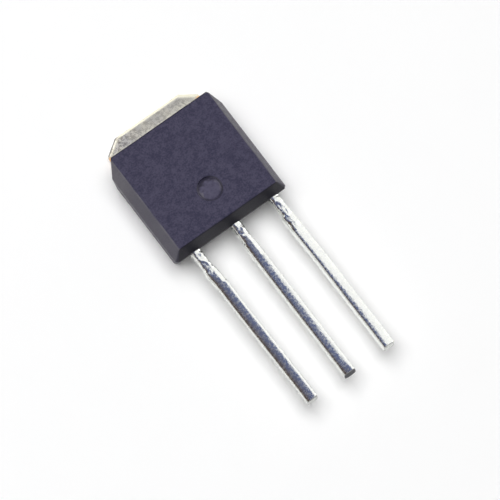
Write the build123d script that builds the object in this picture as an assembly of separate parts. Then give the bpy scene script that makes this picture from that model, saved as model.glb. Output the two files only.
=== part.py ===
from build123d import *
import os

# A power MOSFET in a moulded package with three straight leads, lying on its back.
# X runs across the leads, Y from the lead tips to the tab, and Z out of the front face.
# The origin is the middle of the bare metal face on the back.
# All sizes are in millimetres.

# Leads, outside the mould
lead_pitch = 2.286
lead_offset = 0.13        # the middle lead sits this far towards +X of the plate's centre line
lead_width = 0.62
lead_thickness = 0.50
lead_lift = 1.00          # from the bare back face to the back of the leads
lead_reach = 9.28         # from the mould's exit edge to the lead tips
lead_tip_bevel = 0.07
lead_root_width = 0.56    # between the mould and the cut tie bar
tie_bar_distance = 1.10   # from the mould's exit edge to the cut tie bar
tie_bar_depth = 0.90      # along the lead
tie_bar_stub = 0.04       # what the cut leaves standing on each side of a lead

# Tab and paddle, one plate with the middle lead
pad_length = 5.60         # the bare back face, from the paddle's inner end to the tab's outer edge
tab_width = 5.36
tab_thickness = 0.50
tab_reach = 1.07          # beyond the mould's tab edge
tab_corner_across = 0.80  # the cut corners of the tab, along X
tab_corner_along = 0.55   # and along Y
tab_edge_round = 0.12
lock_ledge = 0.38         # the plate's rim, coined thinner so that the mould grips it
lock_ledge_height = 0.20
neck_width = 1.30         # the strip that steps up from the paddle to the middle lead
neck_bend_radius = 0.30   # at the middle of the strip's thickness
neck_flat = 0.15          # from the bare face's end to where the neck starts to rise

# Bond posts, the inner ends of the outer leads
post_length = 1.00
post_overhang = 0.15      # beyond the lead's outer side
gate_post_gap = 0.75      # from the neck to the gate post
source_post_gap = 0.45    # from the neck to the source post
lead_shoulder = 0.45      # from the mould's exit edge to where the leads widen inside it

# Mould
mould_width = 6.52        # at the parting line, which is level with the front of the leads
exit_margin = 1.55        # from the bare face's inner end to the exit edge at the parting line
upper_height = 0.80       # from the parting line to the front face
frame_shift = 0.12        # the mould sits this far towards -X of the plate's centre line
slope_side = 0.37         # how far the upper half leans in at the sides
slope_exit = 0.32         # at the exit face
slope_tab = 0.15          # and at the tab face
lower_lean_side = 0.17    # and the lower half at the sides
lower_lean_exit = 0.36
lower_lean_tab = 0.13
tab_cut_across = 0.56     # cut corners beside the tab, along X at the parting line
tab_cut_slope = 1.43      # their length along Y for each unit along X
tab_cut_across_front = 0.06
exit_cut = 0.12           # cut corners at the exit face, at the parting line
exit_cut_front = 0.05
front_edge_round = 0.05
pin_mark_radius = 0.60    # the ejector pin's mark in the front face
pin_mark_depth = 0.10
pin_mark_distance = 1.61  # from the front face's exit edge to the mark's centre
pin_mark_offset = 0.10    # from the front face's middle, along X

# Chip and its solder
die_width = 3.20
die_length = 2.50
die_thickness = 0.25
die_end_gap = 0.45        # from the bare face's inner end to the chip
solder_thickness = 0.05
solder_margin = 0.10

# Bond wires
gate_wire_radius = 0.075
source_wire_radius = 0.19
gate_loop_cover = 0.45    # mould over the loops
source_loop_cover = 0.18
wire_foot_length = 3      # in wire radii
wire_foot_press = 0.30    # share of the radius that bonding presses flat
wire_rise_share = 0.25    # of the span, from the chip's bond to where the loop is at its top
wire_top_share = 0.50     # and to where it starts to fall
gate_pad_inset = 0.40     # from the chip's edges to the gate bond
source_wire_count = 2
source_bond_inset = 1.15  # from the chip's near edge to the source bonds
source_bond_spacing = 0.75
source_bond_offset = 0.55 # from the chip's middle to the middle of its source bonds, along X
gate_bend_radius = 0.22
source_bend_radius = 0.36

# Levels and edges that follow from the sizes above
parting_z = lead_lift + lead_thickness
body_thickness = parting_z + upper_height
die_z = tab_thickness + solder_thickness
die_top = die_z + die_thickness
tab_end = pad_length / 2
paddle_end = -pad_length / 2
mould_tab_edge = tab_end - tab_reach
mould_exit_edge = paddle_end - exit_margin
lead_tip = mould_exit_edge - lead_reach
die_centre = (0, paddle_end + die_end_gap + die_length / 2)


def box_between(x0, x1, y0, y1, z0, z1):
    return Pos((x0 + x1) / 2, (y0 + y1) / 2, (z0 + z1) / 2) * Box(x1 - x0, y1 - y0, z1 - z0)


def mould_outline(z, side_lean, exit_lean, tab_lean, tab_cut, corner_cut):
    half = mould_width / 2 - side_lean
    low = mould_exit_edge + exit_lean
    high = mould_tab_edge - tab_lean
    tab_cut_along = tab_cut * tab_cut_slope
    right = [
        (half - corner_cut, low),
        (half, low + corner_cut),
        (half, high - tab_cut_along),
        (half - tab_cut, high),
    ]
    left = [(-x, y) for x, y in reversed(right)]
    return [(x - frame_shift, y, z) for x, y in right + left]


def drafted_block(low, high):
    # a closed solid with flat sides between two outlines that have parallel edges
    faces = [make_face(Polyline(*low, close=True)), make_face(Polyline(*high, close=True))]
    for i in range(len(low)):
        faces.append(make_face(Polyline(low[i - 1], low[i], high[i], high[i - 1], close=True)))
    return Solid(Shell(faces))


def mould_block():
    back = mould_outline(0, lower_lean_side, lower_lean_exit, lower_lean_tab, tab_cut_across, exit_cut)
    parting = mould_outline(parting_z, 0, 0, 0, tab_cut_across, exit_cut)
    front = mould_outline(
        body_thickness, slope_side, slope_exit, slope_tab, tab_cut_across_front, exit_cut_front)
    upper = drafted_block(parting, front)
    upper = fillet(upper.faces().sort_by(Axis.Z)[-1].edges(), front_edge_round)
    return upper + drafted_block(back, parting)


def pin_mark():
    centre_y = mould_exit_edge + slope_exit + pin_mark_distance
    floor = body_thickness - pin_mark_depth
    centre = Pos(pin_mark_offset - frame_shift, centre_y, floor)
    return centre * Cylinder(pin_mark_radius, 2 * pin_mark_depth, align=(Align.CENTER, Align.CENTER, Align.MIN))


def lead_bar(place):
    # place is -1, 0 or 1; the root runs into the mould as far as the shoulder
    x = lead_offset + place * lead_pitch
    shoulder = mould_exit_edge + lead_shoulder
    stub_near = mould_exit_edge - tie_bar_distance
    stub_far = stub_near - tie_bar_depth
    half_stub = lead_width / 2 + tie_bar_stub
    z0, z1 = lead_lift, lead_lift + lead_thickness
    half_root = lead_root_width / 2
    bar = box_between(x - lead_width / 2, x + lead_width / 2, lead_tip, stub_far, z0, z1)
    bar = chamfer(bar.faces().sort_by(Axis.Y)[0].edges(), lead_tip_bevel)
    bar += box_between(x - half_stub, x + half_stub, stub_far, stub_near, z0, z1)
    return bar + box_between(x - half_root, x + half_root, stub_near, shoulder, z0, z1)


def post_sides(side, gap):
    # side is -1 for the gate and 1 for the source
    inner = lead_offset + side * (neck_width / 2 + gap)
    outer = lead_offset + side * (lead_pitch + lead_root_width / 2 + post_overhang)
    return inner, outer


def bond_post(side, gap):
    low = mould_exit_edge + lead_shoulder
    x0, x1 = sorted(post_sides(side, gap))
    return box_between(x0, x1, low, low + post_length, lead_lift, lead_lift + lead_thickness)


def outer_lead(side, gap):
    return lead_bar(side) + bond_post(side, gap)


def tab_plate():
    half = tab_width / 2
    rim_end = paddle_end - lock_ledge
    outline = Polyline(
        (-half, rim_end), (half, rim_end), (half, tab_end - tab_corner_along),
        (half - tab_corner_across, tab_end), (-half + tab_corner_across, tab_end),
        (-half, tab_end - tab_corner_along), close=True)
    plate = extrude(make_face(outline), tab_thickness)
    front_edges = plate.faces().sort_by(Axis.Z)[-1].edges()
    plate = fillet(front_edges.filter_by_position(Axis.Y, rim_end + lock_ledge, tab_end), tab_edge_round)
    ledge_end = mould_tab_edge - lower_lean_tab - tab_cut_across * tab_cut_slope
    for side in (-1, 1):
        x0, x1 = sorted((side * (half - lock_ledge), side * half))
        plate -= box_between(x0, x1, rim_end, ledge_end, 0, lock_ledge_height)
    return plate - box_between(-half, half, rim_end, paddle_end, 0, lock_ledge_height)


def neck_strip():
    # the strip in side view, drawn as Y and Z, then given its width
    shoulder = mould_exit_edge + lead_shoulder
    line = FilletPolyline(
        (paddle_end + die_end_gap, lead_thickness / 2),
        (paddle_end - neck_flat, lead_thickness / 2),
        (shoulder + neck_bend_radius, lead_lift + lead_thickness / 2),
        (shoulder, lead_lift + lead_thickness / 2),
        radius=neck_bend_radius)
    side_view = trace(line, line_width=lead_thickness)
    return extrude(Plane.YZ.offset(lead_offset) * side_view, neck_width / 2, both=True)


def drain_tab():
    return tab_plate() + neck_strip() + lead_bar(0)


def solder_layer():
    width = die_width + 2 * solder_margin
    length = die_length + 2 * solder_margin
    return Pos(*die_centre, tab_thickness + solder_thickness / 2) * Box(width, length, solder_thickness)


def chip():
    return Pos(*die_centre, die_z + die_thickness / 2) * Box(die_width, die_length, die_thickness)


def bond_wire(start, end, radius, cover, bend_radius):
    # the wire lies in the upright plane through both bonds, where u runs from start to end
    along = Vector(end[0] - start[0], end[1] - start[1], 0)
    span = along.length
    plane = Plane(origin=(start[0], start[1], 0), x_dir=along, z_dir=along.cross(Vector(0, 0, 1)))
    lift = radius * (1 - wire_foot_press)
    top = body_thickness - cover - radius
    half_foot = wire_foot_length * radius / 2
    points = [
        (-half_foot, die_top + lift),
        (half_foot, die_top + lift),
        (half_foot + wire_rise_share * span, top),
        (half_foot + wire_top_share * span, top),
        (span - half_foot, parting_z + lift),
        (span + half_foot, parting_z + lift),
    ]
    path = plane * FilletPolyline(*points, radius=bend_radius)
    section = Plane(origin=path @ 0, z_dir=path % 0) * Circle(radius)
    return sweep(section, path=path)


def gate_bond():
    start_x = die_centre[0] - die_width / 2 + gate_pad_inset
    start_y = die_centre[1] - die_length / 2 + gate_pad_inset
    end_x = sum(post_sides(-1, gate_post_gap)) / 2
    end_y = mould_exit_edge + lead_shoulder + post_length / 2
    return bond_wire(
        (start_x, start_y), (end_x, end_y), gate_wire_radius, gate_loop_cover, gate_bend_radius)


def source_bond(number):
    offset = (number - (source_wire_count + 1) / 2) * source_bond_spacing
    start_x = die_centre[0] + source_bond_offset + offset
    start_y = die_centre[1] - die_length / 2 + source_bond_inset
    end_x = sum(post_sides(1, source_post_gap)) / 2 + offset
    end_y = mould_exit_edge + lead_shoulder + post_length / 2
    return bond_wire(
        (start_x, start_y), (end_x, end_y), source_wire_radius, source_loop_cover, source_bend_radius)


pieces = {
    "drain_tab": drain_tab(),
    "gate_lead": outer_lead(-1, gate_post_gap),
    "source_lead": outer_lead(1, source_post_gap),
    "die_solder": solder_layer(),
    "silicon_die": chip(),
}
pieces["gate_wire"] = gate_bond() - pieces["gate_lead"] - pieces["silicon_die"]
for number in range(1, source_wire_count + 1):
    pieces[f"source_wire_{number}"] = source_bond(number) - pieces["source_lead"] - pieces["silicon_die"]

mould = mould_block() - pin_mark()
for piece in pieces.values():
    mould -= piece
pieces["mould_body"] = mould

os.makedirs("parts", exist_ok=True)
for name, piece in pieces.items():
    export_step(piece, f"parts/{name}.step")
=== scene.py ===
import math

import bmesh
import bpy
import numpy as np
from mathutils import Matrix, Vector, noise


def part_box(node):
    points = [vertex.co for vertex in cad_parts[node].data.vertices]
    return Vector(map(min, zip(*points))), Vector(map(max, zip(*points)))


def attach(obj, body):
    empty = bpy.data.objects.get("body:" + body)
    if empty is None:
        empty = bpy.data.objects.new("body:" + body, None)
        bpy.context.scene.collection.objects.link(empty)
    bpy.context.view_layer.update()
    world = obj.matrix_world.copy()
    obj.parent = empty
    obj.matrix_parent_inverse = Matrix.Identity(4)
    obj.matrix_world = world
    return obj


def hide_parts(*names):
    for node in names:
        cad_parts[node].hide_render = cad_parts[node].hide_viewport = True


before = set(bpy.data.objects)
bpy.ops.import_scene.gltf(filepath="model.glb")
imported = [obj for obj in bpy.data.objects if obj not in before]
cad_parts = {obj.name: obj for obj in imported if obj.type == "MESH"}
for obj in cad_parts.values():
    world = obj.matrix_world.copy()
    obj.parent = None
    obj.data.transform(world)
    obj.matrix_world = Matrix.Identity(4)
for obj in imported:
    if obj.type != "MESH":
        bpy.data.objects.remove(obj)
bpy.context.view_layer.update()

# A power transistor in a moulded package, lying on its back under soft studio light.
# All lengths in the dictionaries are millimetres; meshes are scaled to metres as they are made.
scene = bpy.context.scene
millimetre = 0.001


def boxInMm(node):
    low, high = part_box(node)
    return low / millimetre, high / millimetre


mouldLow, mouldHigh = boxInMm("mould_body")
tabLow, tabHigh = boxInMm("drain_tab")
gateLow = boxInMm("gate_lead")[0]
sourceHigh = boxInMm("source_lead")[1]
print("frame loaded:", len(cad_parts), "nodes")


# Mesh helpers

def addObject(name, data):
    item = bpy.data.objects.new(name, data)
    scene.collection.objects.link(item)
    return item


def smoothFaces(mesh):
    mesh.polygons.foreach_set("use_smooth", [True] * len(mesh.polygons))


def addSkin(name, points, faces):
    # a closed skin from points in millimetres, with its normals turned outward
    mesh = bpy.data.meshes.new(name)
    mesh.from_pydata([Vector(p) * millimetre for p in points], [], faces)
    bm = bmesh.new()
    bm.from_mesh(mesh)
    bmesh.ops.recalc_face_normals(bm, faces=bm.faces)
    bm.to_mesh(mesh)
    bm.free()
    smoothFaces(mesh)
    mesh.update()
    return addObject(name, mesh)


def skinFromRings(name, rings):
    # joins rings of equal count into one closed skin, with a point in the middle of each end
    count = len(rings[0])
    points = [p for ring in rings for p in ring]
    faces = []
    for r in range(len(rings) - 1):
        for i in range(count):
            a, b = r * count + i, r * count + (i + 1) % count
            faces.append((a, b, b + count, a + count))
    for r in (0, len(rings) - 1):
        points.append(sum(rings[r], Vector()) / count)
        for i in range(count):
            faces.append((r * count + i, r * count + (i + 1) % count, len(points) - 1))
    return addSkin(name, points, faces)


def smooth(low, high, value):
    # 0 below low, 1 above high, and an easy curve between
    t = min(max((value - low) / (high - low), 0), 1)
    return t * t * (3 - 2 * t)


def ripple(point, size, seed):
    # smooth unevenness between about -1 and 1, with waves of the given size
    return noise.noise(Vector(point) / size + Vector((seed * 17.3, seed * 5.1, seed * 9.7)))


def bend(a, corner, b, steps):
    # a soft round from a to b that leans on the corner
    shares = [k / steps for k in range(steps + 1)]
    return [a * (1 - t) ** 2 + corner * 2 * t * (1 - t) + b * t ** 2 for t in shares]


def softLoop(corners, radius, edgeSteps, cornerSteps=4, longest=0.45):
    # a closed loop with softened corners, none taking more than longest of an edge;
    # edgeSteps gives the points on the edge after each corner
    def along(start, end):
        way = end - start
        return start + way.normalized() * min(radius, way.length * longest)

    loop = []
    for i, corner in enumerate(corners):
        following = corners[(i + 1) % len(corners)]
        begin, stop = along(corner, following), along(following, corner)
        loop += bend(along(corner, corners[i - 1]), corner, begin, cornerSteps)
        loop += [begin.lerp(stop, k / edgeSteps[i]) for k in range(1, edgeSteps[i])]
    return loop


def mirroredLoop(right, middleX, z, radius, edgeSteps):
    # a soft loop from the corners of its right half, each as (distance from the middle, y)
    left = [(-x, y) for x, y in reversed(right)]
    return softLoop([Vector((middleX + x, y, z)) for x, y in right + left], radius, edgeSteps)


def blendLoops(a, b, t):
    return [p.lerp(q, t) for p, q in zip(a, b)]


def ringsBetween(start, end, count):
    return [blendLoops(start, end, k / count) for k in range(1, count)]


def roundBetween(inner, corner, outer, radius, steps):
    # rings that turn softly from one run of the profile to the next
    rounds = []
    for p, c, q in zip(inner, corner, outer):
        a = c + (p - c).normalized() * radius
        b = c + (q - c).normalized() * radius
        rounds.append(bend(a, c, b, steps))
    return [list(ring) for ring in zip(*rounds)]


def joinPieces(name, parts):
    # one object from several closed skins
    bm = bmesh.new()
    for part in parts:
        bm.from_mesh(part.data)
    mesh = bpy.data.meshes.new(name)
    bm.to_mesh(mesh)
    bm.free()
    for part in parts:
        bpy.data.objects.remove(part)
    smoothFaces(mesh)
    return addObject(name, mesh)


def pushOut(piece, amountAt):
    # moves each point along its normal by what amountAt gives for its place, in millimetres
    places = [v.co / millimetre for v in piece.data.vertices]
    normals = [v.normal.copy() for v in piece.data.vertices]
    moved = [p + n * amountAt(p, n) for p, n in zip(places, normals)]
    piece.data.vertices.foreach_set("co", [c * millimetre for p in moved for c in p])
    piece.data.update()


def paintMask(piece, name, valueAt):
    # a value per vertex, worked out from its place in millimetres, for a material to read
    layer = piece.data.attributes.new(name, "FLOAT", "POINT")
    values = [valueAt(v.co / millimetre, v.normal) for v in piece.data.vertices]
    layer.data.foreach_set("value", values)


# Node helpers

def addNode(tree, kind, inputs=None, **settings):
    # each input is a plain value, or another node's output to link
    node = tree.nodes.new(kind)
    for key, value in settings.items():
        setattr(node, key, value)
    for key, value in (inputs or {}).items():
        if isinstance(value, bpy.types.NodeSocket):
            tree.links.new(value, node.inputs[key])
        else:
            node.inputs[key].default_value = value
    return node


def mathNode(tree, operation, a, b=0.0, clamp=False):
    return addNode(tree, "ShaderNodeMath", {0: a, 1: b}, operation=operation, use_clamp=clamp).outputs[0]


def rangeNode(tree, value, low, high, toLow=0.0, toHigh=1.0):
    inputs = {"Value": value, "From Min": low, "From Max": high, "To Min": toLow, "To Max": toHigh}
    return addNode(tree, "ShaderNodeMapRange", inputs, interpolation_type="SMOOTHSTEP").outputs[0]


def mixValue(tree, factor, a, b):
    return addNode(tree, "ShaderNodeMix", {0: factor, 2: a, 3: b}, data_type="FLOAT").outputs[0]


def mixColour(tree, factor, a, b):
    node = addNode(tree, "ShaderNodeMix", {0: factor}, data_type="RGBA")
    for socket, value in ((node.inputs[6], a), (node.inputs[7], b)):
        if isinstance(value, bpy.types.NodeSocket):
            tree.links.new(value, socket)
        else:
            socket.default_value = (*value, 1)
    return node.outputs[2]


def layColours(tree, colour, layers):
    # lays each colour over the ones before it, as far as its mask says
    for mask, over in layers:
        colour = mixColour(tree, mask, colour, over)
    return colour


def paintedMask(tree, name):
    return addNode(tree, "ShaderNodeAttribute", attribute_name=name).outputs["Fac"]


def faintMask(tree, group, share):
    return mathNode(tree, "MULTIPLY", group.outputs["Mask"], share)


def lightPaths(tree):
    # what the camera sees straight, and that together with what it sees in reflections
    path = addNode(tree, "ShaderNodeLightPath")
    straight = path.outputs["Is Camera Ray"]
    return straight, mathNode(tree, "MAXIMUM", straight, path.outputs["Is Glossy Ray"])


def objectCoords(tree):
    # object coordinates in millimetres
    coords = addNode(tree, "ShaderNodeTexCoord").outputs["Object"]
    inputs = {0: coords, "Scale": 1 / millimetre}
    return addNode(tree, "ShaderNodeVectorMath", inputs, operation="SCALE").outputs[0]


def newGroup(name, inputs, outputs):
    group = bpy.data.node_groups.new(name, "ShaderNodeTree")
    for label, value in inputs.items():
        socket = group.interface.new_socket(label, in_out="INPUT", socket_type="NodeSocketFloat")
        socket.default_value = value
    for label in outputs:
        group.interface.new_socket(label, in_out="OUTPUT", socket_type="NodeSocketFloat")
    return group, addNode(group, "NodeGroupInput"), addNode(group, "NodeGroupOutput")


def useGroup(tree, group, **values):
    node = addNode(tree, "ShaderNodeGroup", node_tree=group)
    for label, value in values.items():
        node.inputs[label].default_value = value
    return node


def mottleGroup(finer=3.7, spreadGain=3.0):
    # cloudy unevenness: soft patches of one size broken up by finer ones
    group, given, result = newGroup("mottle", {"Size": 0.2, "Fine": 0.5, "Contrast": 1.0}, ["Mask", "Height"])
    coords = objectCoords(group)
    coarseScale = mathNode(group, "DIVIDE", 1.0, given.outputs["Size"])
    fineScale = mathNode(group, "MULTIPLY", coarseScale, finer)
    coarse = addNode(group, "ShaderNodeTexNoise", {"Vector": coords, "Scale": coarseScale, "Detail": 2.0})
    fine = addNode(group, "ShaderNodeTexNoise", {"Vector": coords, "Scale": fineScale, "Detail": 3.0})
    height = mixValue(group, given.outputs["Fine"], coarse.outputs[0], fine.outputs[0])
    centred = mathNode(group, "SUBTRACT", height, 0.5)
    gain = mathNode(group, "MULTIPLY", given.outputs["Contrast"], spreadGain)
    spread = mathNode(group, "MULTIPLY", centred, gain)
    group.links.new(mathNode(group, "ADD", spread, 0.5, clamp=True), result.inputs["Mask"])
    group.links.new(height, result.inputs["Height"])
    return group


def scratchGroup(threshold=0.78, reach=0.25, sharpness=12.0):
    # fine straight marks, stretched along one direction; Amount lowers the threshold by up to reach
    inputs = {"Length": 1.2, "Width": 0.03, "Angle": 0.0, "Amount": 0.4}
    group, given, result = newGroup("scratches", inputs, ["Mask"])
    turned = addNode(group, "ShaderNodeVectorRotate", {
        "Vector": objectCoords(group), "Angle": given.outputs["Angle"]}, rotation_type="Z_AXIS").outputs[0]
    stretch = addNode(group, "ShaderNodeCombineXYZ", {
        0: mathNode(group, "DIVIDE", 1.0, given.outputs["Length"]),
        1: mathNode(group, "DIVIDE", 1.0, given.outputs["Width"]), 2: 1.0}).outputs[0]
    coords = addNode(group, "ShaderNodeVectorMath", {0: turned, 1: stretch}, operation="MULTIPLY").outputs[0]
    marks = addNode(group, "ShaderNodeTexNoise", {"Vector": coords, "Scale": 1.0, "Detail": 1.0}).outputs[0]
    lowered = mathNode(group, "MULTIPLY", given.outputs["Amount"], reach)
    above = mathNode(group, "SUBTRACT", marks, mathNode(group, "SUBTRACT", threshold, lowered))
    group.links.new(mathNode(group, "MULTIPLY", above, sharpness, clamp=True), result.inputs["Mask"])
    return group


def speckGroup(sharpness=20.0):
    # scattered small dots of dust and pits
    inputs = {"Spacing": 0.5, "Radius": 0.12, "Amount": 0.3}
    group, given, result = newGroup("specks", inputs, ["Mask"])
    scale = mathNode(group, "DIVIDE", 1.0, given.outputs["Spacing"])
    cells = addNode(group, "ShaderNodeTexVoronoi", {"Vector": objectCoords(group), "Scale": scale})
    near = mathNode(group, "SUBTRACT", given.outputs["Radius"], cells.outputs["Distance"])
    dot = mathNode(group, "MULTIPLY", near, sharpness, clamp=True)
    tint = addNode(group, "ShaderNodeSeparateColor", {0: cells.outputs["Color"]}).outputs[0]
    chosen = mathNode(group, "LESS_THAN", tint, given.outputs["Amount"])
    group.links.new(mathNode(group, "MULTIPLY", dot, chosen), result.inputs["Mask"])
    return group


mottle = mottleGroup()
scratches = scratchGroup()
specks = speckGroup()


def newMaterial(name, **sockets):
    material = bpy.data.materials.new(name)
    material.use_nodes = True
    tree = material.node_tree
    shader = tree.nodes["Principled BSDF"]
    for label, value in sockets.items():
        shader.inputs[label.replace("_", " ")].default_value = value
    return material, tree, shader


def finishShader(tree, shader, colour, rough, height, strength, depth):
    # depth is the bump's, in millimetres
    bump = addNode(tree, "ShaderNodeBump", {
        "Height": height, "Strength": strength, "Distance": depth * millimetre})
    tree.links.new(colour, shader.inputs["Base Color"])
    tree.links.new(rough, shader.inputs["Roughness"])
    tree.links.new(bump.outputs[0], shader.inputs["Normal"])


# Materials

epoxyLook = {
    # the side colour is painted light on the drafted sides
    "face": (0.025, 0.023, 0.050), "worn": (0.060, 0.055, 0.092), "side": (0.132, 0.125, 0.144),
    # the edge colour is wear and a painted highlight; the darkest colour is painted shade
    "mark": (0.088, 0.081, 0.128), "edge": (0.20, 0.19, 0.20), "paintedShade": (0.007, 0.006, 0.014),
    "dust": (0.30, 0.30, 0.31), "rubShare": 0.45, "grainShare": 0.25, "dustShare": 0.6,
    "roughness": (0.40, 0.60), "exitRoughness": 0.34,
    "grainSize": 0.07, "grainStrength": 0.6, "grainDepth": 0.016,
}


def epoxyMaterial():
    # the dull black moulding, rubbed, grained and a little dusty, with painted light on its drafted sides, a
    # painted highlight mixed with wear on its front edges, and painted shade round the pin mark, at the brow
    # and on the lead end
    material, tree, shader = newMaterial("mouldedEpoxy", IOR=1.42, Specular_IOR_Level=0.36)
    look = epoxyLook
    patches = useGroup(tree, mottle, Size=0.30, Fine=0.6, Contrast=1.8)
    grain = useGroup(tree, mottle, Size=look["grainSize"], Fine=0.5, Contrast=1.0)
    rubs = useGroup(tree, scratches, Length=0.8, Width=0.035, Angle=0.7, Amount=0.45)
    dust = useGroup(tree, specks, Spacing=0.9, Radius=0.05, Amount=0.35)
    colour = layColours(tree, look["face"], (
        (patches.outputs["Mask"], look["worn"]),
        # painted light: the drafted sides are laid lighter, partly a duller finish and partly the light they
        # catch
        (paintedMask(tree, "moulding"), look["side"]),
        (paintedMask(tree, "pinMark"), look["mark"]),
        # partly rubbed wear, partly a painted highlight along the rounded front edges
        (paintedMask(tree, "edgeWearAndHighlight"), look["edge"]),
        (faintMask(tree, rubs, look["rubShare"]), look["worn"]),
        (faintMask(tree, grain, look["grainShare"]), look["face"]),
        (faintMask(tree, dust, look["dustShare"]), look["dust"]),
        # painted shade: darker round the pin mark, where the front face turns down to the tab, and on the end
        # face by the leads
        (paintedMask(tree, "paintedShade"), look["paintedShade"])))
    rough = rangeNode(tree, patches.outputs["Mask"], 0.0, 1.0, *look["roughness"])
    rough = mixValue(tree, paintedMask(tree, "exitEnd"), rough, look["exitRoughness"])
    height = grain.outputs["Height"]
    finishShader(tree, shader, colour, rough, height, look["grainStrength"], look["grainDepth"])
    return material


tinLook = {
    "dark": (0.80, 0.81, 0.79), "bright": (0.88, 0.89, 0.84), "shadedCutEnd": (0.15, 0.15, 0.16),
    "roughness": (0.05, 0.29), "cutRoughness": 0.85,
    "lumpSize": 0.12, "lumpStrength": 0.8, "lumpDepth": 0.007,
}


def tinMaterial():
    # the thin tin coat of the leads, uneven as it froze, and the bare grey of their cut ends, darkened
    # further with painted shade
    material, tree, shader = newMaterial("leadTin", Metallic=1.0)
    look = tinLook
    lumps = useGroup(tree, mottle, Size=look["lumpSize"], Fine=0.05, Contrast=1.0)
    clouds = useGroup(tree, mottle, Size=0.15, Fine=0.42, Contrast=2.0)
    cut = paintedMask(tree, "shadedCutEnd")
    # the cut ends are bare grey, darkened further with painted shade
    colour = layColours(tree, look["dark"], ((clouds.outputs["Mask"], look["bright"]), (cut, look["shadedCutEnd"])))
    tree.links.new(mathNode(tree, "SUBTRACT", 1.0, cut), shader.inputs["Metallic"])
    rough = rangeNode(tree, clouds.outputs["Mask"], 0.0, 1.0, *look["roughness"])
    rough = mathNode(tree, "MAXIMUM", rough, mathNode(tree, "MULTIPLY", cut, look["cutRoughness"]))
    height = lumps.outputs["Height"]
    finishShader(tree, shader, colour, rough, height, look["lumpStrength"], look["lumpDepth"])
    return material


tabLook = {
    # the rim colour is partly a painted highlight
    "dark": (0.48, 0.44, 0.39), "bright": (1.0, 0.96, 0.88), "rim": (0.88, 0.85, 0.70),
    # the dark colour after the rim serves both the nicks and painted shade
    "grimeAndShade": (0.10, 0.10, 0.12), "copper": (0.86, 0.52, 0.24), "scuffShare": 0.6, "nickShare": 0.7,
    "roughness": (0.36, 0.54), "speckleStrength": 0.6, "speckleDepth": 0.010,
}


def tabMaterial():
    # the tab's coat, dulled and scuffed by handling, with polished rims brightened by a painted highlight,
    # bare cut sides, and painted shade along the left cut corner and beside the mould
    material, tree, shader = newMaterial("tabTin", Metallic=1.0)
    look = tabLook
    speckle = useGroup(tree, mottle, Size=0.18, Fine=0.5, Contrast=3.4)
    clouds = useGroup(tree, mottle, Size=0.6, Fine=0.3, Contrast=1.0)
    scuffs = useGroup(tree, scratches, Length=0.5, Width=0.03, Angle=0.25, Amount=0.8)
    nicks = useGroup(tree, scratches, Length=0.35, Width=0.035, Angle=1.0, Amount=0.5)
    colour = layColours(tree, look["dark"], (
        (speckle.outputs["Mask"], look["bright"]),
        (faintMask(tree, scuffs, look["scuffShare"]), look["bright"]),
        (faintMask(tree, nicks, look["nickShare"]), look["grimeAndShade"]),
        # partly rubbed bright, partly a painted highlight on the rim and on the ridge's slope towards the
        # light
        (paintedMask(tree, "polishAndHighlight"), look["rim"]),
        # painted shade along the left cut corner and beside the mould
        (paintedMask(tree, "grimeAndShade"), look["grimeAndShade"]),
        (paintedMask(tree, "bareCopper"), look["copper"])))
    rough = rangeNode(tree, clouds.outputs["Mask"], 0.0, 1.0, *look["roughness"])
    height = speckle.outputs["Height"]
    finishShader(tree, shader, colour, rough, height, look["speckleStrength"], look["speckleDepth"])
    return material


insideLooks = {
    "polishedSilicon": {
        "dark": (0.22, 0.23, 0.26), "bright": (0.34, 0.35, 0.40), "roughness": (0.12, 0.25), "size": 0.5},
    "dullSolder": {
        "dark": (0.40, 0.40, 0.41), "bright": (0.60, 0.60, 0.61), "roughness": (0.35, 0.6), "size": 0.2},
    "drawnWire": {
        "dark": (0.70, 0.70, 0.71), "bright": (0.85, 0.85, 0.86), "roughness": (0.2, 0.4), "size": 0.1},
}


def insideMaterial(name, look, bumpStrength=0.4, bumpDepth=0.004):
    # the sealed pieces inside the mould
    material, tree, shader = newMaterial(name, Metallic=1.0)
    clouds = useGroup(tree, mottle, Size=look["size"], Fine=0.5, Contrast=1.0)
    colour = mixColour(tree, clouds.outputs["Mask"], look["dark"], look["bright"])
    rough = rangeNode(tree, clouds.outputs["Mask"], 0.0, 1.0, *look["roughness"])
    finishShader(tree, shader, colour, rough, clouds.outputs["Height"], bumpStrength, bumpDepth)
    return material


epoxy = epoxyMaterial()
tin = tinMaterial()
tabTin = tabMaterial()
insideMaterials = {name: insideMaterial(name, look) for name, look in insideLooks.items()}
for node, name in (
        ("silicon_die", "polishedSilicon"), ("die_solder", "dullSolder"),
        ("gate_wire", "drawnWire"), ("source_wire_1", "drawnWire"), ("source_wire_2", "drawnWire")):
    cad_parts[node].data.materials.clear()
    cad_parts[node].data.materials.append(insideMaterials[name])
print("materials made")


# The moulded body

# a lean or slope is how far a side comes in from the parting line, at the back or at the front face
mould = {
    "partingZ": 1.50, "sideSlope": 0.37, "exitSlope": 0.32, "tabSlope": 0.10,
    "sideLean": 0.17, "exitLean": 0.36, "tabLean": 0.13,
    "tabCut": 0.56, "tabCutSlope": 1.43, "tabCutFront": 0.06, "exitCut": 0.12, "exitCutFront": 0.05,
    "frontRound": 0.08, "partingRound": 0.03, "backRound": 0.05, "cornerRound": 0.035,
    "markRadius": 0.60, "markDepth": 0.075, "markDistance": 1.61, "markOffset": 0.10, "markRound": 0.03,
    "markDome": 0.062, "markFlat": 0.94, "markLumps": 0.014, "markLumpSize": 0.17,
    "wave": 0.005, "waveSize": 1.3, "gap": 0.006, "leadRoom": 0.02,
    "edgeSteps": (3, 60, 10, 60, 10, 60, 3, 60), "backShares": (0.05, 0.3, 0.6, 0.85, 0.95),
    "roundSteps": 4, "frontRoundSteps": 6, "sideRings": 12, "faceRings": 56, "markRings": 14,
}
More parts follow.
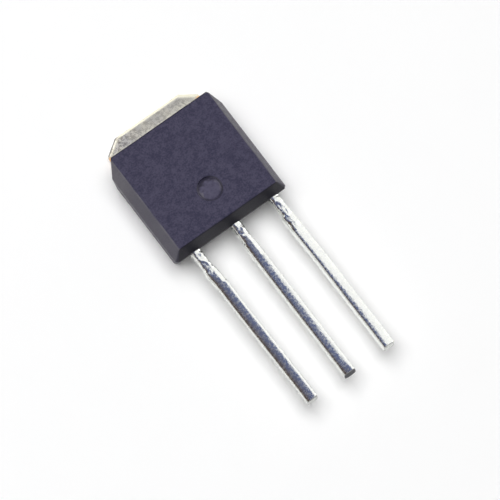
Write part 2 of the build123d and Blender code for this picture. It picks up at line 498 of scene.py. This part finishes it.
# how strong each painted mask is; a pair is where it starts and where it is full, by place or by normal
mouldTones = {
    # the side values paint light on the drafted sides, lighter towards the tab
    "side": 0.85, "sideLightLow": 0.78, "sideLightRise": 0.55, "sideLightRamp": (-1.0, 1.0), "facing": (0.45, 0.80),
    # the ring round the mark, the brow and the exit end get painted shade
    "mark": 0.62, "markStreaks": 0.7, "streakSize": 0.16, "markPaintedShade": 0.30, "browShade": 0.85, "exit": 0.95,
    # the edge values paint the front edges lighter, partly wear and partly a painted highlight
    "edge": 0.6, "edgePatchSize": 0.35, "edgeStarts": (0.15, 0.40), "edgeStops": (0.80, 0.92),
}
mouldMid = (mouldLow + mouldHigh) / 2
markMiddle = Vector((
    mouldMid.x + mould["markOffset"], mouldLow.y + mould["exitSlope"] + mould["markDistance"], mouldHigh.z))


def mouldLoop(z, sideLean, exitLean, tabLean, tabCut, exitCut):
    # the outline at one level, with small cuts by the leads and larger ones by the tab
    half = mouldHigh.x - mouldMid.x - sideLean
    low = mouldLow.y + exitLean
    high = mouldHigh.y - tabLean
    right = [
        (half - exitCut, low), (half, low + exitCut),
        (half, high - tabCut * mould["tabCutSlope"]), (half - tabCut, high)]
    return mirroredLoop(right, mouldMid.x, z, mould["cornerRound"], mould["edgeSteps"])


def insideMark(p, margin):
    # 1 within the pin mark, fading to 0 at the margin inside its wall
    return 1 - smooth(mould["markRadius"] - 0.12, mould["markRadius"] - margin, (p - markMiddle).length)


def makeMould():
    m = mould
    back = mouldLoop(mouldLow.z, m["sideLean"], m["exitLean"], m["tabLean"], m["tabCut"], m["exitCut"])
    parting = mouldLoop(m["partingZ"], 0, 0, 0, m["tabCut"], m["exitCut"])
    front = mouldLoop(
        mouldHigh.z, m["sideSlope"], m["exitSlope"], m["tabSlope"], m["tabCutFront"], m["exitCutFront"])
    backMiddle = [Vector((mouldMid.x, mouldMid.y, mouldLow.z))] * len(back)
    rays = [(p - markMiddle).normalized() for p in front]
    steps = m["roundSteps"]

    def circle(radius, drop):
        return [markMiddle + ray * radius - Vector((0, 0, drop)) for ray in rays]

    rings = [blendLoops(backMiddle, back, t) for t in m["backShares"]]
    rings += roundBetween(backMiddle, back, parting, m["backRound"], steps)
    turn = roundBetween(back, parting, front, m["partingRound"], steps)
    rings += ringsBetween(rings[-1], turn[0], m["sideRings"]) + turn
    corner, wall = circle(m["markRadius"], 0), circle(m["markRadius"], m["markDepth"])
    turn = roundBetween(parting, front, corner, m["frontRound"], m["frontRoundSteps"])
    rings += ringsBetween(rings[-1], turn[0], m["sideRings"]) + turn
    rim = circle(m["markRadius"] + m["markRound"], 0)
    rings += ringsBetween(rings[-1], rim, m["faceRings"])
    rings += roundBetween(rim, corner, wall, m["markRound"], steps)
    rings += roundBetween(corner, wall, circle(0.05, m["markDepth"]), m["markRound"], steps)
    for k in range(1, m["markRings"]):
        share = 1 - k / m["markRings"]
        dome = m["markDome"] * (1 - share ** 4)
        rings.append(circle(m["markRadius"] * (m["markFlat"] * share + 0.02), m["markDepth"] - dome))
    body = skinFromRings("mouldBody", rings)

    def unevenness(p, n):
        wave = (ripple(p, m["waveSize"], 1) - 1) * m["wave"] * smooth(0.05, 0.2, p.z)
        return wave + insideMark(p, 0.02) * m["markLumps"] * ripple(p, m["markLumpSize"], 2)

    pushOut(body, unevenness)
    return body


def sideLightAt(p, n):
    # painted light: how much lighter than the front face the drafted sides are coloured, most by the tab;
    # partly a duller finish, partly the light they catch and reflect
    t = mouldTones
    rise = t["sideLightRise"] * smooth(*t["sideLightRamp"], p.y)
    return smooth(*t["facing"], abs(n.x)) * t["side"] * (t["sideLightLow"] + rise)


def pinMarkAt(p, n):
    # the floor of the pin mark, streaked by the ejector
    t = mouldTones
    return insideMark(p, 0.04) * t["mark"] * (1 + t["markStreaks"] * ripple(p, t["streakSize"], 3))


def edgeWearAndHighlightAt(p, n):
    # the front edges along the long sides are coloured lighter in patches, partly rubbed wear and partly a
    # painted highlight on the rounding
    if p.z < mouldHigh.z - 0.1 or n.z > 0.995:
        return 0
    t = mouldTones
    patchy = 0.75 + 0.5 * ripple(p, t["edgePatchSize"], 7)
    return t["edge"] * patchy * smooth(*t["edgeStarts"], abs(n.x)) * (1 - smooth(*t["edgeStops"], abs(n.x)))


def exitAt(p, n):
    # the end face that the leads come out of
    return smooth(*mouldTones["facing"], -n.y)


def paintedShadeAt(p, n):
    # painted shade: darker where the front face turns down to the tab, in a ring round the pin mark, and on
    # the end by the leads
    t = mouldTones
    fromMark = abs((p - markMiddle).length - mould["markRadius"] + 0.02)
    mark = 1 - smooth(0.03, 0.08, fromMark) if p.z > mouldHigh.z - 0.2 else 0
    browShade = smooth(0.05, 0.25, n.y) if p.z > mouldHigh.z - 0.12 else 0
    return max(t["markPaintedShade"] * mark, t["browShade"] * browShade, t["exit"] * exitAt(p, n))


def cutBox(body, low, high):
    # takes a box away from the body
    xs, ys, zs = zip(low, high)
    corners = [(x, y, z) for x in xs for y in ys for z in zs]
    faces = [(0, 1, 3, 2), (4, 6, 7, 5), (0, 4, 5, 1), (2, 3, 7, 6), (0, 2, 6, 4), (1, 5, 7, 3)]
    cutter = addSkin("cutter", corners, faces)
    cut = body.modifiers.new("cut", "BOOLEAN")
    cut.object = cutter
    cut.operation = "DIFFERENCE"
    cut.solver = "MANIFOLD"
    bpy.context.view_layer.update()
    body.data = bpy.data.meshes.new_from_object(
        body.evaluated_get(bpy.context.evaluated_depsgraph_get()))
    body.modifiers.clear()
    bpy.data.objects.remove(cutter)


mouldBody = makeMould()
for name, valueAt in (
        ("moulding", sideLightAt), ("pinMark", pinMarkAt), ("paintedShade", paintedShadeAt),
        ("edgeWearAndHighlight", edgeWearAndHighlightAt), ("exitEnd", exitAt)):
    paintMask(mouldBody, name, valueAt)
print("mould made:", len(mouldBody.data.polygons), "faces")


# The leads

# a lead is narrow at its root, then widens at the stub of the cut tie bar, then runs on to its tip
lead = {
    "pitch": 2.286, "offset": 0.13, "halfWidth": 0.32, "halfHeight": 0.25, "middleZ": 1.25,
    "rootHalf": 0.28, "stubHalf": 0.345, "stubNear": 1.10, "stubFar": 2.00, "stubFacet": 0.035,
    "stubStep": 0.02, "stubFade": 0.05, "shoulder": 0.45, "postLength": 1.00,
    "tipGap": 0.004, "tipShrink": 0.20, "tipSlopeLength": 0.3,
    "around": 72, "step": 0.025, "squareness": 7.0, "rootSquareness": 4.5, "crown": 0.11,
    "lumps": 0.020, "lumpSize": 0.28, "fineLumps": 0.012, "fineLumpSize": 0.14, "lumpFade": 0.6,
    "swell": 0.004, "swellSize": 0.9, "grit": 0.0010, "gritSize": 0.09, "pullIn": 0.004,
}
# each pair is a distance from the mould, and there the turn in degrees or the shift to one side
leadStyles = {
    "gate": {
        "turn": ((0.0, 6.5), (0.5, 5.0), (0.9, 0.5), (1.2, 0.0), (2.1, -3.2), (9.3, -3.4)),
        "shift": ((0.0, -0.13), (1.0, -0.11), (2.4, -0.035), (9.3, 0.045)),
        "tipRound": 0.22, "tipSlope": 0.04, "endTone": 0.35, "lumpEnd": 1.9, "seed": 1},
    "drain": {
        "turn": ((0.0, 8.0), (0.6, 6.0), (1.05, -3.0), (1.35, -1.5), (2.6, 1.0), (8.5, 0.9), (9.15, -4.0)),
        "shift": ((0.0, -0.05), (9.3, -0.02)),
        "tipRound": 0.05, "tipSlope": 0.07, "endTone": 1.0, "lumpEnd": 1.5, "seed": 2},
    "source": {
        "turn": ((0.0, 8.0), (0.9, 6.0), (1.8, 5.0), (2.05, 9.6), (3.8, 9.2), (6.5, 6.2), (9.3, 7.6)),
        "shift": ((0.0, -0.07), (2.0, -0.06), (4.0, -0.02), (9.3, 0.0)),
        "tipRound": 0.05, "tipSlope": 0.05, "endTone": 0.25, "lumpEnd": 2.15, "seed": 3},
}
exitY = mouldLow.y
tipY = tabLow.y + lead["tipGap"]
postStart = exitY + lead["shoulder"]
postEnd = postStart + lead["postLength"]
drainX = (tabLow.x + tabHigh.x) / 2 + lead["offset"]


def sectionPoints(power):
    # evenly spaced points round a softened, crowned rectangle of half sizes 1 and 1
    across = lead["halfHeight"] / lead["halfWidth"]
    turns = np.linspace(0, 2 * math.pi, 1441)
    xs = np.sign(np.cos(turns)) * np.abs(np.cos(turns)) ** (2 / power)
    zs = np.sign(np.sin(turns)) * np.abs(np.sin(turns)) ** (2 / power) * (1 - lead["crown"] * xs ** 2)
    lengths = np.concatenate([[0], np.cumsum(np.hypot(np.diff(xs), np.diff(zs) * across))])
    wanted = np.linspace(0, lengths[-1], lead["around"], endpoint=False)
    return np.interp(wanted, lengths, xs), np.interp(wanted, lengths, zs)


def alongLead(stops, out):
    # eases from one stop to the next
    value = stops[0][1]
    for (near, before), (far, after) in zip(stops, stops[1:]):
        if out > near:
            value = before + (after - before) * smooth(near, far, out)
    return value


def leadRing(y, middleX, style, root, run):
    # one ring outside the posts; root and run are the sections before and after the stub
    out, left = exitY - y, y - tipY
    stubIn = smooth(lead["stubNear"] - lead["stubStep"], lead["stubNear"] + lead["stubStep"], out)
    stubOut = smooth(lead["stubFar"] - lead["stubFade"], lead["stubFar"] + lead["stubFade"], out)
    half = lead["rootHalf"] + (lead["stubHalf"] - lead["rootHalf"]) * stubIn
    half += (lead["halfWidth"] - lead["stubHalf"]) * stubOut
    twist = math.radians(alongLead(style["turn"], out))
    shift = alongLead(style["shift"], out)
    shrink = 1.0
    if left < style["tipRound"]:
        bulge = math.sqrt(max(0, 1 - (1 - left / style["tipRound"]) ** 2))
        shrink = (1 - lead["tipShrink"]) + lead["tipShrink"] * bulge
    us = (root[0] + (run[0] - root[0]) * stubOut) * half * shrink
    ws = (root[1] + (run[1] - root[1]) * stubOut) * lead["halfHeight"] * shrink
    ring = []
    for dx, dz in zip(us, ws):
        if dz > 0:
            dz -= lead["stubFacet"] * stubIn * (1 - stubOut) * smooth(0.2, 1.0, dx / half)
        upward = (1 + dz / lead["halfHeight"]) / 2
        back = style["tipSlope"] * upward * (1 - smooth(0, lead["tipSlopeLength"], left))
        ring.append(Vector((
            middleX + shift + dx * math.cos(twist) + dz * math.sin(twist), y + back,
            lead["middleZ"] - dx * math.sin(twist) + dz * math.cos(twist))))
    return ring


def roughenLead(piece, style):
    # the tin froze in lumps, most of them between the mould and the cut tie bar
    seed, lumpEnd = style["seed"], style["lumpEnd"]

    def lumpAt(p, n):
        out = exitY - p.y
        lumps = lead["lumps"] * ripple(p, lead["lumpSize"], seed)
        lumps += lead["fineLumps"] * ripple(p, lead["fineLumpSize"], seed + 12)
        lumps *= 1 - smooth(lumpEnd - lead["lumpFade"], lumpEnd, out)
        swell = lead["swell"] * ripple(p, lead["swellSize"], seed + 4)
        grit = lead["grit"] * ripple(p, lead["gritSize"], seed + 8)
        free = smooth(0.0, 0.05, out) * smooth(-0.01, 0.05, p.y - tipY)
        return (lumps + swell + grit - lead["pullIn"]) * free

    pushOut(piece, lumpAt)


def makeLead(name, middleX, style, sealed):
    # sealed gives the rings inside the mould, as (y, x, z, half width, half height)
    root, run = sectionPoints(lead["rootSquareness"]), sectionPoints(lead["squareness"])
    rings = []
    for y, x, z, half, high in sealed:
        rings.append([Vector((x + u * half, y, z + w * high)) for u, w in zip(*run)])
    steps = int((postStart - tipY) / lead["step"])
    for k in range(1, steps + 1):
        rings.append(leadRing(postStart + (tipY - postStart) * k / steps, middleX, style, root, run))
    last = rings[-1]
    middle = sum(last, Vector()) / len(last)
    rings += [[middle.lerp(p, t) for p in last] for t in (0.97, 0.6, 0.25)]
    piece = skinFromRings(name, rings)
    roughenLead(piece, style)
    return piece


def paintCutEnd(piece, style):
    # the grey sheared face at the end of a lead, darkened further with painted shade
    def shadedCutEndAt(p, n):
        return style["endTone"] * (smooth(0.30, 0.70, -n.y) * (1 - smooth(0.03, 0.08, p.y - tipY - 0.12)))

    paintMask(piece, "shadedCutEnd", shadedCutEndAt)


def makeOuterLead(name, place, style, postLow, postHigh):
    # place counts pitches from the middle lead; postLow and postHigh are the bond post's sides
    postX, postHalf = (postLow + postHigh) / 2, (postHigh - postLow) / 2
    sealed = [(y, postX, lead["middleZ"], postHalf, lead["halfHeight"]) for y in (postEnd, postStart + 0.01)]
    piece = makeLead(name, drainX + place * lead["pitch"], style, sealed)
    paintCutEnd(piece, style)
    piece.data.materials.append(tin)
    return piece


# The tab, its plate and the middle lead, one stamped piece

tab = {
    "thickness": 0.50, "cornerAcross": 0.80, "cornerAlong": 0.55, "cornerRound": 0.05,
    "rimAcross": 0.18, "rimDown": 0.16, "bottomEdge": 0.012, "heart": 1.10,
    "ledge": 0.38, "ledgeHeight": 0.20, "paddleEnd": -2.80, "ledgeEnd": 0.80,
    "ridge": 0.014, "ridgeStarts": (1.75, 1.9), "ridgeStops": (2.03, 2.17),
    "dents": 0.003, "dentSize": 0.5, "fineDents": 0.0015, "fineDentSize": 0.12,
    "neckHalf": 0.65, "gatePostGap": 0.75, "sourcePostGap": 0.45,
    "edgeSteps": (40, 3, 20, 12, 40, 12, 20, 3, 40, 40), "rimSteps": 10, "topRings": 64,
    "bottomShares": (0.04, 0.2, 0.4, 0.6, 0.8, 0.93),
}
tabTones = {
    # land is a painted highlight on the ridge's slope towards the light
    "copperStarts": (1.63, 1.98), "copperStops": (2.10, 2.20), "land": 0.4, "rubbed": 0.50,
    # the last strength is the painted shade beside the mould
    "rubbedFrom": (-2.4, -0.2), "grimeAndShade": 0.85,
}
neckLow, neckHigh = drainX - tab["neckHalf"], drainX + tab["neckHalf"]
gateLead = makeOuterLead("gateLead", -1, leadStyles["gate"], gateLow.x, neckLow - tab["gatePostGap"])
sourceLead = makeOuterLead(
    "sourceLead", 1, leadStyles["source"], neckHigh + tab["sourcePostGap"], sourceHigh.x)
print("outer leads made")


def plateLoop(z, inset, ledge):
    # the outline at one level; ledge pulls in the part of it that the mould grips
    half = tabHigh.x - inset
    end = tabHigh.y - inset
    rim = tab["paddleEnd"] - tab["ledge"] + ledge + inset
    right = [
        (half - ledge, rim), (half - ledge, tab["ledgeEnd"]), (half, tab["ledgeEnd"] + 0.001),
        (half, end - tab["cornerAlong"]), (half - tab["cornerAcross"], end)]
    return mirroredLoop(right, 0, z, tab["cornerRound"], tab["edgeSteps"])


def makePlate():
    ledge, ledgeHeight, edge, top = tab["ledge"], tab["ledgeHeight"], tab["bottomEdge"], tab["thickness"]
    bottom = plateLoop(0, 0, ledge)
    middleLow = [Vector((0, tab["heart"], 0))] * len(bottom)
    middleHigh = [Vector((0, tab["heart"], top))] * len(bottom)
    rings = [blendLoops(middleLow, bottom, t) for t in tab["bottomShares"]]
    for z, inset, pulledIn in (
            (0, edge, ledge), (edge, 0, ledge), (0.10, 0, ledge),
            (ledgeHeight - 0.004, 0, ledge), (ledgeHeight, 0, 0), (0.26, 0, 0)):
        rings.append(plateLoop(z, inset, pulledIn))
    for k in range(tab["rimSteps"] + 1):
        a = math.pi / 2 * k / tab["rimSteps"]
        z, inset = top - tab["rimDown"] * (1 - math.sin(a)), tab["rimAcross"] * (1 - math.cos(a))
        rings.append(plateLoop(z, inset, 0))
    rings += ringsBetween(rings[-1], middleHigh, tab["topRings"])
    plate = skinFromRings("plate", rings)

    def unevenness(p, n):
        # shallow dents, and a low ridge across the tab close to the mould
        dents = tab["dents"] * (ripple(p, tab["dentSize"], 5) - 1)
        dents += tab["fineDents"] * ripple(p, tab["fineDentSize"], 6)
        land = (1 - smooth(*tab["ridgeStops"], p.y)) * smooth(*tab["ridgeStarts"], p.y)
        inside = smooth(0.10, 0.35, tabHigh.x - abs(p.x))
        return smooth(0.25, 0.35, p.z) * dents + tab["ridge"] * land * inside * smooth(0.90, 0.99, n.z)

    pushOut(plate, unevenness)
    return plate


def leftCorner(p):
    # how far in from the left cut corner a place is
    across, along = tab["cornerAcross"], tab["cornerAlong"]
    fromLine = (p.x + tabHigh.x) * along - (p.y - tabHigh.y + along) * across
    return fromLine / math.hypot(across, along)


def bareCopperAt(p, n):
    # the sheared sides of the tab, close to the mould, show copper
    if p.z <= 0.02:
        return 0
    near = smooth(*tabTones["copperStarts"], p.y) * (1 - smooth(*tabTones["copperStops"], p.y))
    side = smooth(0.35, 0.8, abs(n.x))
    corner = 1 - smooth(0.12, 0.32, tabHigh.x - p.x) if n.z > 0.3 else 0
    return near * max(side, corner)


def polishAndHighlightAt(p, n):
    # the rolled rim and the ridge's slope beside the mould are painted bright, partly rubbed and partly a
    # painted highlight, more so at the right corner
    if p.y < mouldHigh.y or p.z < 0.2:
        return 0
    rim = smooth(0.08, 0.30, math.hypot(n.x, n.y)) * smooth(0.0, 0.25, leftCorner(p))
    land = tabTones["land"] * smooth(0.03, 0.12, n.y) if p.y < tab["ridgeStops"][1] + 0.03 else 0
    right = 1 - smooth(0.30, 0.42, leftCorner(Vector((-p.x, p.y, p.z))))
    rubbed = tabTones["rubbed"] * smooth(*tabTones["rubbedFrom"], p.x)
    return max(rim, land, rubbed, right * (0.75 + 0.5 * ripple(p, 0.2, 9)))


def tabShadeAt(p, n):
    # painted shade: a dark line along the left cut corner and another beside the mould
    corner = (1 - smooth(0.03, 0.10, leftCorner(p))) * smooth(0.3, 0.6, n.z) if p.y > mouldHigh.y else 0
    beside = 1 - smooth(0.03, 0.09, p.y - mouldHigh.y) if n.z > 0.5 else 0
    return max(corner, tabTones["grimeAndShade"] * beside)


def makeDrain():
    neck, paddle, style = tab["neckHalf"], tab["paddleEnd"], leadStyles["drain"]
    # the step up from the plate to the middle lead, inside the mould
    stepUp = [
        (paddle + 0.45, drainX, 0.25, neck, 0.24), (paddle - 0.15, drainX, 0.26, neck, 0.24),
        (paddle - 0.35, drainX, 0.42, neck, 0.29), (postStart + 0.35, drainX, 1.10, neck, 0.29),
        (postStart + 0.15, drainX, 1.25, neck, 0.25), (postStart + 0.01, drainX, 1.25, neck, 0.25)]
    middle = makeLead("middle", drainX, style, stepUp)
    piece = joinPieces("drainTab", [makePlate(), middle])
    paintCutEnd(piece, style)
    for name, valueAt in (("bareCopper", bareCopperAt), ("polishAndHighlight", polishAndHighlightAt), ("grimeAndShade", tabShadeAt)):
        paintMask(piece, name, valueAt)
    piece.data.materials.append(tabTin)
    piece.data.materials.append(tin)
    for face in piece.data.polygons:
        if face.center.y / millimetre < exitY + 0.2:
            face.material_index = 1
    return piece


drainTab = makeDrain()
print("tab made:", len(drainTab.data.polygons), "faces")


def makeRoom(body):
    # room in the mould for the plate and the three leads, with a hairline gap
    gap, room = mould["gap"], mould["leadRoom"]
    plateSide, past = tabHigh.x + gap, tabHigh.y + 0.5
    ledgeSide, ledgeTop = tabHigh.x - tab["ledge"] + gap, tab["ledgeHeight"] + 0.05
    plateTop = tab["thickness"] + tab["ridge"] + gap
    cutBox(
        body, (-plateSide, tab["paddleEnd"] - tab["ledge"] - gap, tab["ledgeHeight"] - gap),
        (plateSide, past, plateTop))
    cutBox(body, (-ledgeSide, tab["paddleEnd"] - gap, -0.5), (ledgeSide, past, ledgeTop))
    cutBox(body, (-plateSide, tab["ledgeEnd"] - gap, -0.5), (plateSide, past, ledgeTop))
    half, high, z = lead["rootHalf"] + room + gap, lead["halfHeight"] + room + gap, lead["middleZ"]
    for place, style in ((-1, "gate"), (0, "drain"), (1, "source")):
        x = drainX + place * lead["pitch"] + alongLead(leadStyles[style]["shift"], 0)
        cutBox(body, (x - half, exitY - 0.5, z - high), (x + half, exitY + 0.42, z + high))


makeRoom(mouldBody)
mouldBody.data.materials.clear()
mouldBody.data.materials.append(epoxy)
mouldBody.data.polygons.foreach_set("material_index", [0] * len(mouldBody.data.polygons))
smoothFaces(mouldBody.data)
print("mould cut:", len(mouldBody.data.polygons), "faces")

for piece, node, slot in (
        (mouldBody, "mould_body", "mould"), (drainTab, "drain_tab", "tinned_copper"),
        (gateLead, "gate_lead", "tinned_copper"), (sourceLead, "source_lead", "tinned_copper")):
    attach(piece, "root")
    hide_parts(node)


# Floor, light and camera

studio = {
    "floorColour": 0.95, "floorGlow": 0.03, "floorSize": 2000.0,
    "tentBright": 1.14, "tentDim": 0.22, "tentFill": 0.12, "brightSide": (0.25, 0.90, 0.35), "tentSpan": 0.6,
    "cardAcross": (-0.85, 0.32), "cardAlong": (-0.80, 0.70), "cardSoft": 0.03, "cardTurns": (-0.28, 0.22),
    "cardLeft": (0.112, 0.088, 0.078), "cardRight": (0.140, 0.170, 0.305), "lampAim": (0, -4, 1),
}
# radiance is what a lamp's face shows; onMatt and onGloss say which faces it lights
lamps = {
    "topLamp": {
        "place": (-20, 40, 300), "size": (300, 300), "radiance": 4.05, "colour": (1.0, 1.0, 1.0),
        "onMatt": True, "onGloss": False},
    "backLamp": {
        "place": (-60, 300, 160), "size": (240, 150), "radiance": 1.05, "colour": (1.0, 0.98, 0.92),
        "onMatt": False, "onGloss": True},
    "rightLamp": {
        "place": (300, -20, 190), "size": (120, 220), "radiance": 1.1, "colour": (1.0, 1.0, 1.0),
        "onMatt": False, "onGloss": True},
}
# fitted to the body's corners and the leads in the photograph
view = {
    "azimuth": -36.2, "elevation": 73.0, "aim": (-0.103, -5.782, 1.264), "distance": 500.0, "across": 23.907,
    "sensor": 36.0, "clip": (0.01, 20.0),
}


def makeFloor():
    mesh = bpy.data.meshes.new("floor")
    s = studio["floorSize"] * millimetre
    mesh.from_pydata([(-s, -s, 0), (s, -s, 0), (s, s, 0), (-s, s, 0)], [], [(0, 1, 2, 3)])
    floor = addObject("floor", mesh)
    material, tree, shader = newMaterial("whiteFloor", Roughness=0.9)
    shade = studio["floorColour"]
    paper = useGroup(tree, mottle, Size=8.0, Fine=0.5, Contrast=0.6)
    white = mixColour(tree, paper.outputs["Mask"], (shade,) * 3, (shade + 0.01,) * 3)
    tree.links.new(white, shader.inputs["Base Color"])
    seen = lightPaths(tree)[1]
    shader.inputs["Emission Color"].default_value = (1, 1, 1, 1)
    tree.links.new(mathNode(tree, "MULTIPLY", seen, studio["floorGlow"]), shader.inputs["Emission Strength"])
    mesh.materials.append(material)


def makeWorld():
    # a white tent, dimmer in front of the leads, with a dark card overhead round the lens
    world = bpy.data.worlds.new("tent")
    scene.world = world
    world.use_nodes = True
    tree = world.node_tree
    direction = addNode(tree, "ShaderNodeTexCoord").outputs["Generated"]
    x, y, z = addNode(tree, "ShaderNodeSeparateXYZ", {0: direction}).outputs
    height = mathNode(tree, "MAXIMUM", z, 0.05)
    across, along = mathNode(tree, "DIVIDE", x, height), mathNode(tree, "DIVIDE", y, height)
    soft, card = studio["cardSoft"], None
    for place, (low, high) in ((across, studio["cardAcross"]), (along, studio["cardAlong"])):
        rise = rangeNode(tree, place, low - soft, low + soft)
        fall = rangeNode(tree, place, high + soft, high - soft)
        band = mathNode(tree, "MULTIPLY", rise, fall)
        card = band if card is None else mathNode(tree, "MULTIPLY", card, band)
    shade = rangeNode(tree, across, *studio["cardTurns"])
    cardColour = mixColour(tree, shade, studio["cardLeft"], studio["cardRight"])
    towards = addNode(
        tree, "ShaderNodeVectorMath", {0: direction, 1: studio["brightSide"]}, operation="DOT_PRODUCT")
    span = studio["tentSpan"]
    tent = rangeNode(tree, towards.outputs["Value"], -span, span, studio["tentDim"], studio["tentBright"])
    tentColour = addNode(tree, "ShaderNodeCombineColor", {0: tent, 1: tent, 2: tent}).outputs[0]
    straight, seen = lightPaths(tree)
    colour = layColours(tree, tentColour, ((card, cardColour), (straight, (1, 1, 1))))
    background = tree.nodes["Background"]
    tree.links.new(colour, background.inputs["Color"])
    tree.links.new(rangeNode(tree, seen, 0.0, 1.0, studio["tentFill"], 1.0), background.inputs["Strength"])


def addLamp(name, place, size, radiance, colour, onMatt, onGloss):
    data = bpy.data.lights.new(name, "AREA")
    data.shape = "RECTANGLE"
    data.size, data.size_y = size[0] * millimetre, size[1] * millimetre
    data.energy = radiance * math.pi * data.size * data.size_y
    data.color = colour
    lamp = addObject(name, data)
    lamp.location = Vector(place) * millimetre
    lamp.rotation_euler = (Vector(studio["lampAim"]) - Vector(place)).to_track_quat("-Z", "Y").to_euler()
    lamp.visible_diffuse = onMatt
    lamp.visible_glossy = onGloss


def aimCamera():
    a, e = math.radians(view["azimuth"]), math.radians(view["elevation"])
    back = Vector((math.sin(a) * math.cos(e), -math.cos(a) * math.cos(e), math.sin(e)))
    data = bpy.data.cameras.new("camera")
    data.sensor_width = view["sensor"]
    data.lens = view["sensor"] * view["distance"] / view["across"]
    data.clip_start, data.clip_end = view["clip"]
    camera = addObject("camera", data)
    camera.location = (Vector(view["aim"]) + back * view["distance"]) * millimetre
    camera.rotation_euler = back.to_track_quat("Z", "Y").to_euler()
    scene.camera = camera


makeFloor()
makeWorld()
for name, lamp in lamps.items():
    addLamp(name, **lamp)
aimCamera()
scene.view_settings.view_transform = "Standard"
print("floor, light and camera set")
